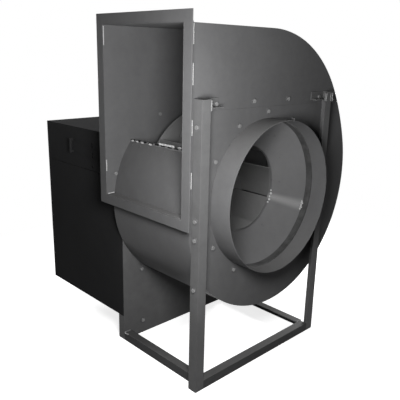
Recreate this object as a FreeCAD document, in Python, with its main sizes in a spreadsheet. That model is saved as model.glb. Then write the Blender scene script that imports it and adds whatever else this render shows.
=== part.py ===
import FreeCAD, Part
import math
import os
from collections import namedtuple

import Sketcher
from FreeCAD import Placement, Rotation, Vector

# A belt driven, single inlet centrifugal fan on a stand of angle bars.
# +X points right along the inlet side, +Y runs along the shaft from the inlet to the drive,
# +Z is up. The origin is on the floor under the shaft axis, at the front of the stand.

# Driving sizes in millimetres, angles in degrees.
SIZES = [
    # scroll casing, seen from the inlet: four tangent arcs and a flat roof
    ("shaft_height", 860), ("side_wall", 4), ("wrap_wall", 3), ("casing_width", 540),
    ("tongue_radius", 475), ("lower_radius", 614), ("upper_radius", 1100), ("crown_radius", 639),
    ("tongue_angle", 141.4), ("lower_start", 226.4), ("upper_start", 377.5), ("crown_start", 392),
    ("scroll_right", 84), ("scroll_up", 23),
    ("outlet_reach", 46.5), ("outlet_drop", 25), ("flange_leg", 45), ("flange_wall", 5),
    ("cutoff_radius", 7), ("rivet_radius", 6), ("rivet_rise", 3),
    ("outlet_bolt_gap", 12), ("outlet_bolt_turn", 162.5),
    ("seam_gap", 11), ("seam_lap", 44), ("seam_bolt_rise", 28), ("seam_bolt_pitch", 249),
    ("seam_bolt_first", 353),
    # inlet collar and cone
    ("collar_radius", 359), ("collar_length", 115), ("seal_wall", 6), ("seal_depth", 30),
    ("seal_lip", 2),
    ("cone_throat", 216), ("cone_depth", 116), ("throat_length", 15),
    ("ring_bolt_gap", 34), ("ring_edge", 12),
    # impeller
    ("wheel_radius", 366), ("sheet_wall", 3), ("disc_wall", 4), ("eye_gap", 5), ("eye_lap", 16),
    ("eye_length", 24), ("rim_width", 216), ("wheel_rear_gap", 101), ("blade_wall", 4),
    ("blade_gap", 8), ("blade_tip_gap", 1), ("blade_start", 18.5), ("blade_sweep", 38),
    ("blade_arc", 330), ("blade_count", 9),
    ("hub_radius", 50), ("hub_flange", 95), ("hub_flange_wall", 12), ("hub_length", 108),
    ("hub_rear_gap", 6), ("cap_radius", 40), ("cap_wall", 8),
    # shaft and bearings
    ("shaft_radius", 25), ("shaft_chamfer", 2), ("seal_gap", 0.5), ("hole_gap", 15),
    ("shaft_seal_wall", 10), ("housing_inset", 2),
    ("bearing_rise", 57), ("bearing_start", 70), ("bearing_span", 300), ("bearing_width", 60),
    ("bearing_foot", 206), ("foot_wall", 20), ("foot_bolt_inset", 24), ("insert_wall", 20),
    ("inner_ring", 8), ("shelf_width", 280), ("shelf_length", 440), ("shelf_wall", 12),
    ("gusset_inset", 30), ("gusset_wall", 8), ("gusset_drop", 300), ("gusset_toe", 40),
    ("gusset_nose", 50),
    # belt drive
    ("pulley_start", 500), ("driven_radius", 140), ("drive_pulley_radius", 100),
    ("rim_wall", 12), ("web_wall", 16), ("pulley_hub_wall", 18), ("belt_count", 3),
    ("belt_pitch", 20), ("belt_width", 13), ("belt_height", 10), ("belt_sink", 1.7),
    ("pulley_edge", 14), ("groove_flare", 2),
    # motor
    ("motor_rise", 132), ("motor_shaft_radius", 19), ("stator_length", 220), ("stator_wall", 12),
    ("rotor_radius", 62), ("air_gap", 1), ("shaft_step", 2), ("winding_gap", 40),
    ("fin_rise", 9), ("fin_wall", 4),
    ("fin_count", 24), ("foot_reach", 130), ("foot_inner", 60), ("motor_foot_wall", 14),
    ("shield_depth", 42), ("nose_radius", 60), ("nose_gap", 48), ("cowl_length", 64),
    ("box_side", 100), ("box_rise", 58), ("grille_rib", 9),
    # drive enclosure
    ("drive_floor", 140), ("drive_over", 245), ("drive_length", 720), ("panel_wall", 1.5),
    ("frame_leg", 30), ("frame_wall", 3), ("beam_leg", 40), ("slide_reach", 190),
    ("slide_height", 30), ("vent_start", 255), ("vent_radius", 5), ("sheet_joint_drop", 215),
    ("sheet_joint_gap", 2), ("handle_start", 439), ("handle_drop", 65), ("handle_height", 76),
    ("handle_reach", 22), ("handle_wall", 10),
    # stand of angle bars
    ("post_leg", 50), ("rail_leg", 45), ("bar_wall", 5), ("post_over", 54),
    ("stand_left", 11.4), ("stand_right", 440), ("base_left", 38), ("base_right", 402),
    ("left_clip_length", 130), ("right_clip_length", 104), ("clip_leg", 40), ("head_wall", 4),
    ("head_height", 50), ("head_overhang", 12), ("foot_bolt_side", 123), ("foot_bolt_rise", 76),
    ("wrap_bolt_gap", 29), ("wrap_bolt_turn", 4.7),
    # hexagon bolt heads, measured across their flats
    ("bolt_small", 17), ("bolt_medium", 19), ("bolt_large", 24),
    # fits
    ("running_fit", 0.05), ("seat", 0.3),
]

doc = FreeCAD.newDocument("PressurizationFan")
sheet = doc.addObject("Spreadsheet::Sheet", "Sizes")
for row, (alias, number) in enumerate(SIZES, start=1):
    sheet.set("A%d" % row, alias)
    sheet.set("B%d" % row, str(number))
    sheet.setAlias("B%d" % row, alias)
doc.recompute()


class Size:
    """A length or an angle: its number now, and the sheet formula that drives it."""

    def __init__(self, number, formula):
        self.number = float(number)
        self.formula = formula

    def __add__(self, other):
        other = as_size(other)
        return Size(self.number + other.number, "(%s + %s)" % (self.formula, other.formula))

    def __sub__(self, other):
        other = as_size(other)
        return Size(self.number - other.number, "(%s - %s)" % (self.formula, other.formula))

    def __mul__(self, other):
        other = as_size(other)
        return Size(self.number * other.number, "(%s * %s)" % (self.formula, other.formula))

    def __truediv__(self, other):
        other = as_size(other)
        return Size(self.number / other.number, "(%s / %s)" % (self.formula, other.formula))

    def __neg__(self):
        return Size(-self.number, "(0 - %s)" % self.formula)

    def __radd__(self, other):
        return as_size(other) + self

    def __rsub__(self, other):
        return as_size(other) - self

    def __rmul__(self, other):
        return as_size(other) * self


def as_size(value):
    return value if isinstance(value, Size) else Size(value, repr(float(value)))


def cosine(angle):
    angle = as_size(angle)
    return Size(math.cos(math.radians(angle.number)), "cos(%s)" % angle.formula)


def sine(angle):
    angle = as_size(angle)
    return Size(math.sin(math.radians(angle.number)), "sin(%s)" % angle.formula)


def root(value):
    return Size(math.sqrt(value.number), "sqrt(%s)" % value.formula)


def around(centre, radius, angle):
    """The point of a circle at an angle."""
    return (centre[0] + radius * cosine(angle), centre[1] + radius * sine(angle))


class Sizes:
    """Every driving size of the sheet, by its alias."""


s = Sizes()
for alias, number in SIZES:
    setattr(s, alias, Size(sheet.get(alias), "Sizes." + alias))

NODES = []


def keep(node):
    """Marks an object as a finished piece of the fan."""
    NODES.append(node)
    return node


def place(node, x=0, y=0, z=0, turn=None):
    """Puts an object at driven coordinates."""
    x, y, z = as_size(x), as_size(y), as_size(z)
    node.Placement = Placement(Vector(x.number, y.number, z.number), turn or Rotation())
    node.setExpression("Placement.Base.x", x.formula)
    node.setExpression("Placement.Base.y", y.formula)
    node.setExpression("Placement.Base.z", z.formula)
    return node


def bind(node, **values):
    """Sets an object's properties from sizes."""
    for name, value in values.items():
        value = as_size(value)
        setattr(node, name, value.number)
        node.setExpression(name, value.formula)
    return node


def new_body(name, x=0, y=0, z=0):
    body = doc.addObject("PartDesign::Body", name)
    body.Label = name
    body.AllowCompound = True
    return place(body, x, y, z)


def new_sketch(body, role, name):
    sketch = body.newObject("Sketcher::SketchObject", name)
    plane = [p for p in body.Origin.OriginFeatures if p.Role == role][0]
    sketch.AttachmentSupport = (plane, "")
    sketch.MapMode = "FlatFace"
    return sketch


def drive(sketch, kind, element, point, value):
    """Holds one coordinate of a sketch point from the sketch's origin."""
    index = sketch.addConstraint(Sketcher.Constraint(kind, -1, 1, element, point, value.number))
    sketch.setExpression("Constraints[%d]" % index, value.formula)


Disc = namedtuple("Disc", "centre radius")


def draw_disc(sketch, disc):
    u, v, radius = (as_size(value) for value in (*disc.centre, disc.radius))
    edge = Part.Circle(Vector(u.number, v.number, 0), Vector(0, 0, 1), radius.number)
    element = sketch.addGeometry(edge, False)
    drive(sketch, "DistanceX", element, 3, u)
    drive(sketch, "DistanceY", element, 3, v)
    index = sketch.addConstraint(Sketcher.Constraint("Radius", element, radius.number))
    sketch.setExpression("Constraints[%d]" % index, radius.formula)


def draw_outline(sketch, corners):
    """A closed outline. Each corner is (u, v), or (u, v, centre, turn) where an arc about the
    centre arrives at it, anticlockwise for turn 1 and clockwise for turn -1."""
    points = [(as_size(c[0]), as_size(c[1])) for c in corners]
    starts, ends, centres = [], [], []
    for i, corner in enumerate(corners):
        first = Vector(points[i - 1][0].number, points[i - 1][1].number, 0)
        last = Vector(points[i][0].number, points[i][1].number, 0)
        if len(corner) == 2:
            element = sketch.addGeometry(Part.LineSegment(first, last), False)
            starts.append((element, 1))
            ends.append((element, 2))
            continue
        centre, turn = [as_size(c) for c in corner[2]], corner[3]
        middle = Vector(centre[0].number, centre[1].number, 0)
        from_angle = math.atan2(first.y - middle.y, first.x - middle.x)
        to_angle = math.atan2(last.y - middle.y, last.x - middle.x)
        if turn < 0:
            from_angle, to_angle = to_angle, from_angle
        if to_angle < from_angle:
            to_angle += 2 * math.pi
        edge = Part.Circle(middle, Vector(0, 0, 1), (last - middle).Length)
        element = sketch.addGeometry(Part.ArcOfCircle(edge, from_angle, to_angle), False)
        starts.append((element, 1 if turn > 0 else 2))
        ends.append((element, 2 if turn > 0 else 1))
        centres.append((element, centre))
    for i in range(len(corners)):
        following = starts[(i + 1) % len(corners)]
        sketch.addConstraint(Sketcher.Constraint("Coincident", *ends[i], *following))
    for element, centre in centres:
        drive(sketch, "DistanceX", element, 3, centre[0])
        drive(sketch, "DistanceY", element, 3, centre[1])
    for i, corner in enumerate(corners):
        u, v = points[i]
        hold_u = hold_v = True
        if len(corner) > 2:
            run = abs(u.number - as_size(corner[2][0]).number)
            rise = abs(v.number - as_size(corner[2][1]).number)
            hold_u, hold_v = rise >= run, rise < run
        if hold_u:
            drive(sketch, "DistanceX", *ends[i], u)
        if hold_v:
            drive(sketch, "DistanceY", *ends[i], v)


def rectangle(u_low, u_high, v_low, v_high):
    return [(u_low, v_low), (u_high, v_low), (u_high, v_high), (u_low, v_high)]


# The origin plane that each direction starts from, and whether it is that plane's back.
STARTS = {"X": ("YZ_Plane", False), "Y": ("XZ_Plane", True), "Z": ("XY_Plane", False)}


def extruded(body, kind, axis, shapes, length, name):
    role, behind = STARTS[axis]
    sketch = new_sketch(body, role, name + "Sketch")
    for shape in shapes:
        if isinstance(shape, Disc):
            draw_disc(sketch, shape)
        else:
            draw_outline(sketch, shape)
    feature = body.newObject("PartDesign::" + kind, name)
    feature.Profile = sketch
    feature.Reversed = behind if kind == "Pad" else not behind
    body.Tip = feature
    return bind(feature, Length=length)


def pad(body, axis, shapes, length, name="Pad"):
    """Adds material from the body's origin plane towards the positive axis."""
    return extruded(body, "Pad", axis, shapes, length, name)


def pocket(body, axis, shapes, length, name="Pocket"):
    """Removes material from the body's origin plane towards the positive axis."""
    return extruded(body, "Pocket", axis, shapes, length, name)


def turn(body, kind, profile, name):
    """Turns a profile of (along, radius) corners about the body's Y axis."""
    sketch = new_sketch(body, "YZ_Plane", name + "Profile")
    draw_outline(sketch, profile)
    feature = body.newObject("PartDesign::" + kind, name)
    feature.Profile = sketch
    feature.ReferenceAxis = (sketch, ["H_Axis"])
    feature.Angle = 360
    body.Tip = feature
    return body


def turned(name, profile, y, z=None):
    """A piece turned about an axis along Y, by default the fan shaft's."""
    return turn(new_body(name, y=y, z=s.shaft_height if z is None else z),
                "Revolution", profile, name + "Turn")


def polar_copies(body, feature, count, name):
    """Repeats a feature about the body's Y axis."""
    pattern = body.newObject("PartDesign::PolarPattern", name)
    pattern.Originals = [feature]
    axis = [line for line in body.Origin.OriginFeatures if line.Role == "Y_Axis"][0]
    pattern.Axis = (axis, [""])
    pattern.Angle = 360
    pattern.Occurrences = int(count.number)
    pattern.setExpression("Occurrences", count.formula)
    body.Tip = pattern


def block(name, x, y, z):
    """A box between driven limits, each given as (low, high)."""
    solid = doc.addObject("Part::Box", name)
    solid.Label = name
    spans = [as_size(high) - as_size(low) for low, high in (x, y, z)]
    bind(solid, Length=spans[0], Width=spans[1], Height=spans[2])
    return place(solid, x[0], y[0], z[0])


def rod(name, radius, length, x, y, z, direction):
    """A round bar from a driven point, turned from +Z to its own direction."""
    solid = doc.addObject("Part::Cylinder", name)
    solid.Label = name
    bind(solid, Radius=radius, Height=length)
    return place(solid, x, y, z, direction)


def hexagon(name, across, rise, x, y, z, direction):
    """A hexagon bar from a driven point, with its size measured across the flats."""
    solid = doc.addObject("Part::Prism", name)
    solid.Label = name
    solid.Polygon = 6
    bind(solid, Circumradius=across / root(as_size(3)), Height=rise)
    return place(solid, x, y, z, direction)


def group(name, solids):
    """Several like solids that are kept as one node."""
    compound = doc.addObject("Part::Compound", name)
    compound.Label = name
    compound.Links = solids
    return keep(compound)


def without(name, base, tools):
    """The base with the tools cut away."""
    remover = tools[0]
    if len(tools) > 1:
        remover = doc.addObject("Part::Compound", name + "_tools")
        remover.Links = tools
    cut = doc.addObject("Part::Cut", name)
    cut.Label = name
    cut.Base = base
    cut.Tool = remover
    return cut


TO_MINUS_X = Rotation(Vector(0, 1, 0), -90)
TO_PLUS_X = Rotation(Vector(0, 1, 0), 90)
TO_MINUS_Y = Rotation(Vector(1, 0, 0), 90)
TO_PLUS_Y = Rotation(Vector(1, 0, 0), -90)
TO_PLUS_Z = Rotation()
HEAD_SHARE = 0.4


def bolt_heads(name, places, direction, across):
    """Hexagon heads seated on a face; each rises by a set share of its width."""
    group(name, [hexagon("%s_%d" % (name, i), across, across * HEAD_SHARE, *spot, direction)
                 for i, spot in enumerate(places)])


def on_circle(count, radius, y):
    """Places spread evenly on a circle about the fan shaft."""
    spots = []
    for i in range(count):
        x, z = around((0, s.shaft_height), radius, 360 * i / count)
        spots.append((x, y, z))
    return spots


# Planes across the shaft, from the front.
plate_front = s.post_leg
inner_front = plate_front + s.side_wall
inner_rear = inner_front + s.casing_width
plate_rear = inner_rear + s.side_wall
pedestal_rear = plate_rear + s.side_wall

# The scroll's arcs, with centres measured from the shaft axis.
lower_centre = (s.scroll_right, s.scroll_up)
upper_centre = around(lower_centre, s.lower_radius - s.upper_radius, s.upper_start)
crown_centre = around(upper_centre, s.upper_radius - s.crown_radius, s.crown_start)
tongue_centre = around(lower_centre, s.lower_radius - s.tongue_radius, s.lower_start)
roof = crown_centre[1] + s.crown_radius
floor_drop = tongue_centre[1] + s.outlet_drop
floor_end = tongue_centre[0] - root(s.tongue_radius * s.tongue_radius - floor_drop * floor_drop)
outlet_face = floor_end - s.outlet_reach

# The inlet ring's radii and the level joint of the front plate above it.
ring_bolt_radius = s.collar_radius + s.ring_bolt_gap
ring_radius = ring_bolt_radius + s.ring_edge
seam_rise = ring_radius + s.seam_gap
seam_height = s.shaft_height + seam_rise
post_height = seam_height + s.post_over

# The left post stands behind the outlet's flange, and the base's left edge inside the post.
post_left = outlet_face + s.flange_leg + s.stand_left
base_edge = post_left + s.base_left


def side_panel(name, front):
    """A side plate of the casing, cut to the scroll."""
    body = new_body(name, y=front, z=s.shaft_height)
    pad(body, "Y", [[
        (outlet_face, roof),
        (outlet_face, -s.outlet_drop),
        (floor_end, -s.outlet_drop),
        (*around(tongue_centre, s.tongue_radius, s.lower_start), tongue_centre, 1),
        (*around(lower_centre, s.lower_radius, s.upper_start), lower_centre, 1),
        (*around(upper_centre, s.upper_radius, s.crown_start), upper_centre, 1),
        (crown_centre[0], roof, crown_centre, 1),
    ]], s.side_wall, "Panel")
    return keep(body)


# Front side plate in two parts that meet at a level joint over the inlet.
beyond = 2 * s.upper_radius
front_side_plate = side_panel("front_side_plate", plate_front)
pocket(front_side_plate, "Y", [Disc((0, 0), s.collar_radius)], s.side_wall, "InletOpening")
pocket(front_side_plate, "Y", [rectangle(-beyond, beyond, seam_rise, beyond)],
       s.side_wall, "AboveJoint")
front_top_plate = side_panel("front_top_plate", plate_front)
pocket(front_top_plate, "Y", [rectangle(-beyond, beyond, -beyond, seam_rise)],
       s.side_wall, "BelowJoint")

# Strip inside the joint, clear of the cone's ring and as long as the scroll lets it be.
strip_top = seam_rise + s.seam_lap
strip_reach = strip_top - crown_centre[1]
inside_crown = s.crown_radius - s.wrap_wall - s.seat
strip_right = crown_centre[0] + root(inside_crown * inside_crown - strip_reach * strip_reach)
keep(block("joint_strip", (outlet_face + s.flange_leg, strip_right),
           (inner_front, inner_front + s.side_wall),
           (s.shaft_height + ring_radius + s.seat, s.shaft_height + strip_top)))

# Rear side plate with the shaft's hole, the bolt ring of its cover and one bolt by the outlet.
rear_side_plate = side_panel("rear_side_plate", inner_rear)
shaft_hole = s.shaft_radius + s.hole_gap
pocket(rear_side_plate, "Y", [Disc((0, 0), shaft_hole)], s.side_wall, "ShaftHole")
RING_BOLTS = 12
bolt_x, bolt_z = around(tongue_centre, s.tongue_radius + s.outlet_bolt_gap, s.outlet_bolt_turn)
bolt_heads("rear_ring_bolts", on_circle(RING_BOLTS, ring_bolt_radius, inner_rear) +
           [(bolt_x, inner_rear, s.shaft_height + bolt_z)], TO_MINUS_Y, s.bolt_small)

# The wrap: one sheet from the tongue's lip round the scroll to the outlet.
inner_tongue = s.tongue_radius - s.wrap_wall
inner_lower = s.lower_radius - s.wrap_wall
inner_upper = s.upper_radius - s.wrap_wall
wrap = keep(new_body("scroll_wrap", y=inner_front, z=s.shaft_height))
pad(wrap, "Y", [[
    around(tongue_centre, s.tongue_radius, s.tongue_angle),
    (*around(tongue_centre, s.tongue_radius, s.lower_start), tongue_centre, 1),
    (*around(lower_centre, s.lower_radius, s.upper_start), lower_centre, 1),
    (*around(upper_centre, s.upper_radius, s.crown_start), upper_centre, 1),
    (crown_centre[0], roof, crown_centre, 1),
    (outlet_face, roof),
    (outlet_face, roof - s.wrap_wall),
    (crown_centre[0], roof - s.wrap_wall),
    (*around(upper_centre, inner_upper, s.crown_start), crown_centre, -1),
    (*around(lower_centre, inner_lower, s.upper_start), upper_centre, -1),
    (*around(tongue_centre, inner_tongue, s.lower_start), lower_centre, -1),
    (*around(tongue_centre, inner_tongue, s.tongue_angle), tongue_centre, -1),
]], s.casing_width, "Wrap")

# Round bar along the tongue's lip, and the rivets below it.
lip = around(tongue_centre, s.tongue_radius - s.wrap_wall / 2, s.tongue_angle)
bar_centre = (lip[0] + s.cutoff_radius * sine(s.tongue_angle),
              lip[1] - s.cutoff_radius * cosine(s.tongue_angle))
keep(rod("cutoff_bar", s.cutoff_radius, s.casing_width, bar_centre[0], inner_front,
         s.shaft_height + bar_centre[1], TO_PLUS_Y))
RIVETS = 9
RIVET_TURN = 2
rivet_angle = s.tongue_angle + RIVET_TURN
rivet_spot = around(tongue_centre, s.tongue_radius, rivet_angle)
rivet_rows = [inner_front + s.casing_width * ((i + 0.5) / RIVETS) for i in range(RIVETS)]
group("cutoff_rivets", [
    rod("cutoff_rivet_%d" % i, s.rivet_radius, s.rivet_rise, rivet_spot[0], row,
        s.shaft_height + rivet_spot[1], Rotation(Vector(0, 1, 0), 90 - rivet_angle.number))
    for i, row in enumerate(rivet_rows)])

# Strip that closes the gap between the wrap and the flange's lower bar. Its lower edge is the
# nearer one to the wrap.
under_drop = floor_drop + s.wrap_wall
under_end = tongue_centre[0] - root(s.tongue_radius * s.tongue_radius - under_drop * under_drop)
keep(block("outlet_floor", (outlet_face + s.flange_wall, under_end - s.seat),
           (inner_front, inner_rear),
           (s.shaft_height - s.outlet_drop - s.wrap_wall, s.shaft_height - s.outlet_drop)))


def grown(limits, by):
    return rectangle(limits[0] - by, limits[1] + by, limits[2] - by, limits[3] + by)


# Discharge flange: a welded frame of angle bars round the outlet.
mouth = (plate_front, plate_rear, -s.outlet_drop - s.wrap_wall, roof)
flange = keep(new_body("discharge_flange", x=outlet_face, z=s.shaft_height))
pad(flange, "X", [grown(mouth, s.flange_leg), grown(mouth, 0)], s.flange_wall, "Face")
pad(flange, "X", [grown(mouth, s.flange_wall), grown(mouth, 0)], s.flange_leg, "Sleeve")

# Inlet: a round collar in front of the plate, a seal in it and the cone behind.
seal_inner = s.collar_radius - s.seal_wall
keep(turned("inlet_collar", [
    (-s.collar_length, s.collar_radius),
    (0, s.collar_radius),
    (0, s.collar_radius + s.sheet_wall),
    (-s.collar_length, s.collar_radius + s.sheet_wall)], plate_front))
keep(turned("inlet_seal", [
    (-s.seal_depth, s.collar_radius),
    (s.seal_lip - s.seal_depth, seal_inner),
    (s.side_wall, seal_inner),
    (s.side_wall, s.collar_radius)], plate_front))
throat_outer = s.cone_throat + s.sheet_wall
cone_end = s.cone_depth + s.throat_length
keep(turned("inlet_cone", [
    (0, seal_inner),
    (0, ring_radius),
    (s.sheet_wall, ring_radius),
    (s.sheet_wall, seal_inner + s.sheet_wall / 2),
    (s.cone_depth + s.sheet_wall / 2, throat_outer),
    (cone_end, throat_outer),
    (cone_end, s.cone_throat),
    (s.cone_depth, s.cone_throat)], inner_front))
bolt_heads("inlet_ring_bolts", on_circle(RING_BOLTS, ring_bolt_radius, plate_front),
           TO_MINUS_Y, s.bolt_small)

# Impeller: a flat backplate, and a shroud whose eye laps over the cone's throat.
disc_rear = inner_rear - s.wheel_rear_gap
disc_front = disc_rear - s.disc_wall
keep(turned("wheel_backplate", [
    (0, s.hub_radius), (s.disc_wall, s.hub_radius),
    (s.disc_wall, s.wheel_radius), (0, s.wheel_radius)], disc_front))
eye_radius = throat_outer + s.eye_gap
eye_front = inner_front + cone_end - s.eye_lap
slope_run = disc_front - s.rim_width - eye_front - s.eye_length
keep(turned("wheel_shroud", [
    (0, eye_radius),
    (s.eye_length, eye_radius),
    (s.eye_length + slope_run, s.wheel_radius),
    (s.eye_length + slope_run - s.sheet_wall, s.wheel_radius),
    (s.eye_length - s.sheet_wall, eye_radius + s.sheet_wall),
    (0, eye_radius + s.sheet_wall)], eye_front))

# Backward curved blades: strips between two arcs about one centre, cut to the shroud's slope.
blade_root = around((0, 0), eye_radius + s.blade_gap, s.blade_start)
blade_tip = around((0, 0), s.wheel_radius - s.blade_tip_gap, s.blade_start - s.blade_sweep)
chord = (blade_tip[0] - blade_root[0], blade_tip[1] - blade_root[1])
chord_length = root(chord[0] * chord[0] + chord[1] * chord[1])
arc_offset = root(s.blade_arc * s.blade_arc - chord_length * chord_length / 4)
blade_centre = (
    (blade_root[0] + blade_tip[0]) / 2 + arc_offset * chord[1] / chord_length,
    (blade_root[1] + blade_tip[1]) / 2 - arc_offset * chord[0] / chord_length)


def across_blade(point, radius):
    """The point of a concentric arc on the same ray from the blade's centre."""
    return (blade_centre[0] + radius * (point[0] - blade_centre[0]) / s.blade_arc,
            blade_centre[1] + radius * (point[1] - blade_centre[1]) / s.blade_arc)


blades = keep(new_body("wheel_blades", y=eye_front + s.eye_length, z=s.shaft_height))
blade = pad(blades, "Y", [[
    (*across_blade(blade_root, s.blade_arc), blade_centre, 1),
    across_blade(blade_root, s.blade_arc - s.blade_wall),
    (*across_blade(blade_tip, s.blade_arc - s.blade_wall), blade_centre, -1),
    across_blade(blade_tip, s.blade_arc),
]], slope_run + s.rim_width, "Blade")
polar_copies(blades, blade, s.blade_count, "Blades")
past_tip = s.wheel_radius + s.hub_radius
turn(blades, "Groove", [
    (-s.hub_radius, eye_radius),
    (0, eye_radius),
    (slope_run, s.wheel_radius),
    (slope_run, past_tip),
    (-s.hub_radius, past_tip)], "ShroudCut")

# Hub through the backplate, with its flange behind it.
hub_front = inner_rear - s.hub_rear_gap - s.hub_length
flange_start = disc_rear - hub_front
flange_end = flange_start + s.hub_flange_wall
keep(turned("wheel_hub", [
    (0, s.shaft_radius), (0, s.hub_radius),
    (flange_start, s.hub_radius), (flange_start, s.hub_flange),
    (flange_end, s.hub_flange), (flange_end, s.hub_radius),
    (s.hub_length, s.hub_radius), (s.hub_length, s.shaft_radius)], hub_front))
HUB_BOLTS = 6
bolt_heads("hub_bolts", on_circle(HUB_BOLTS, (s.hub_radius + s.hub_flange) / 2, disc_front),
           TO_MINUS_Y, s.bolt_medium)

# Shaft, and the washer and screw that hold the hub on its end.
pulley_width = (s.belt_count - 1) * s.belt_pitch + 2 * s.pulley_edge
pulley_front = pedestal_rear + s.pulley_start
shaft_length = pulley_front + pulley_width + s.inner_ring - hub_front
keep(turned("fan_shaft", [
    (0, 0), (0, s.shaft_radius), (shaft_length - s.shaft_chamfer, s.shaft_radius),
    (shaft_length, s.shaft_radius - s.shaft_chamfer), (shaft_length, 0)], hub_front))
end_cap = doc.addObject("Part::MultiFuse", "shaft_end_cap")
end_cap.Label = "shaft_end_cap"
end_cap.Shapes = [
    rod("end_washer", s.cap_radius, s.cap_wall, 0, hub_front, s.shaft_height, TO_MINUS_Y),
    hexagon("end_screw", s.bolt_large, s.bolt_large * HEAD_SHARE,
            0, hub_front - s.cap_wall, s.shaft_height, TO_MINUS_Y)]
keep(end_cap)

# Pedestal plate behind the casing, down to the floor.
drive_top = s.shaft_height + s.drive_over
pedestal = keep(new_body("pedestal_plate", y=plate_rear))
pad(pedestal, "Y", [rectangle(base_edge, s.base_right, 0, drive_top),
                    Disc((0, s.shaft_height), shaft_hole)], s.side_wall, "Sheet")
bolt_x, bolt_z = around(lower_centre, s.lower_radius + s.wrap_bolt_gap,
                        s.lower_start + s.wrap_bolt_turn)
bolt_heads("pedestal_bolts", [
    (bolt_x, plate_rear, s.shaft_height + bolt_z),
    (base_edge + s.foot_bolt_side, plate_rear, s.foot_bolt_rise),
    (s.base_right - s.foot_bolt_side, plate_rear, s.foot_bolt_rise)], TO_MINUS_Y, s.bolt_medium)

# Seal ring round the shaft, between the pedestal plate and the first bearing.
seal_radius = s.shaft_radius + s.seal_gap
seal_outer = s.bearing_rise - s.seat
keep(turned("shaft_seal", [
    (0, seal_radius), (s.shaft_seal_wall, seal_radius),
    (s.shaft_seal_wall, seal_outer), (0, seal_outer)], pedestal_rear))

# Bearing shelf on two gussets.
shelf_top = s.shaft_height - s.bearing_rise
shelf_low = shelf_top - s.shelf_wall
half_shelf = s.shelf_width / 2
keep(block("bearing_shelf", (-half_shelf, half_shelf),
           (pedestal_rear, pedestal_rear + s.shelf_length), (shelf_low, shelf_top)))
gusset_face = half_shelf - s.gusset_inset
gusset_end = s.shelf_length - s.gusset_wall
gussets = []
for name, low_face in (("left_gusset", -gusset_face),
                       ("right_gusset", gusset_face - s.gusset_wall)):
    gusset = new_body(name, low_face, pedestal_rear, shelf_low)
    pad(gusset, "X", [[(0, 0), (0, -s.gusset_drop), (s.gusset_toe, -s.gusset_drop),
                       (gusset_end, -s.gusset_nose), (gusset_end, 0)]], s.gusset_wall, "Web")
    gussets.append(gusset)
group("shelf_gussets", gussets)

# Two plummer blocks, each a round housing on its foot with an insert that turns.
insert_radius = s.shaft_radius + s.insert_wall
ring_outer = s.shaft_radius + s.inner_ring
housing_radius = s.bearing_rise - s.housing_inset
half_foot = s.bearing_foot / 2
foot_top = s.foot_wall - s.bearing_rise
shoulder = root(housing_radius * housing_radius - foot_top * foot_top)
first_bearing = pedestal_rear + s.bearing_start
foot_bolts = []
for name, front in (("front", first_bearing), ("rear", first_bearing + s.bearing_span)):
    housing = keep(new_body(name + "_bearing_housing", y=front, z=s.shaft_height))
    pad(housing, "Y", [[
        (-half_foot, foot_top), (-half_foot, -s.bearing_rise), (half_foot, -s.bearing_rise),
        (half_foot, foot_top), (shoulder, foot_top), (-shoulder, foot_top, (0, 0), 1),
    ], Disc((0, 0), insert_radius + s.running_fit)], s.bearing_width, "Housing")
    for x in (s.foot_bolt_inset - half_foot, half_foot - s.foot_bolt_inset):
        foot_bolts.append((x, front + s.bearing_width / 2, shelf_top + s.foot_wall))
    race_end = s.bearing_width - s.inner_ring
    collar_end = s.bearing_width + s.inner_ring
    keep(turned(name + "_bearing_insert", [
        (0, s.shaft_radius), (0, ring_outer),
        (s.inner_ring, ring_outer), (s.inner_ring, insert_radius),
        (race_end, insert_radius), (race_end, ring_outer),
        (collar_end, ring_outer), (collar_end, s.shaft_radius)], front))
bolt_heads("bearing_bolts", foot_bolts, TO_PLUS_Z, s.bolt_large)

# The motor stands on slide rails above the enclosure's floor.
slide_low = s.drive_floor + s.frame_wall + s.beam_leg
motor_height = slide_low + s.slide_height + s.motor_rise
motor_radius = s.motor_rise - s.fin_rise - s.frame_wall


def pulley(name, outer, bore, z):
    """A grooved rim on a web and a hub. Each groove is clear of its belt's sides and floor."""
    groove_floor = outer - s.belt_sink - s.belt_height - s.seat
    half_floor = s.belt_width / 2 + s.seat
    half_top = half_floor + s.groove_flare
    middle = pulley_width / 2
    web = (middle - s.web_wall / 2, middle + s.web_wall / 2)
    rim_inner = groove_floor - s.rim_wall
    hub_outer = bore + s.pulley_hub_wall
    profile = [(0, bore), (0, hub_outer), (web[0], hub_outer), (web[0], rim_inner),
               (0, rim_inner), (0, outer)]
    for i in range(int(s.belt_count.number)):
        groove = s.pulley_edge + s.belt_pitch * i
        profile += [(groove - half_top, outer), (groove - half_floor, groove_floor),
                    (groove + half_floor, groove_floor), (groove + half_top, outer)]
    profile += [(pulley_width, outer), (pulley_width, rim_inner), (web[1], rim_inner),
                (web[1], hub_outer), (pulley_width, hub_outer), (pulley_width, bore)]
    keep(turned(name, profile, pulley_front, z))


pulley("driven_pulley", s.driven_radius, s.shaft_radius, s.shaft_height)
pulley("motor_pulley", s.drive_pulley_radius, s.motor_shaft_radius, motor_height)

# Belts: loops over both pulleys with straight runs tangent to them.
centre_distance = s.shaft_height - motor_height
lean = (s.driven_radius - s.drive_pulley_radius) / centre_distance
lean_cosine = root(1 - lean * lean)


def belt_edge(sink):
    """The loop that lies a given depth below both pulleys' rims."""
    upper, lower = s.driven_radius - sink, s.drive_pulley_radius - sink
    return [
        (upper * lean_cosine, -upper * lean),
        (-upper * lean_cosine, -upper * lean, (0, 0), 1),
        (-lower * lean_cosine, -centre_distance - lower * lean),
        (lower * lean_cosine, -centre_distance - lower * lean, (0, -centre_distance), 1)]


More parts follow.
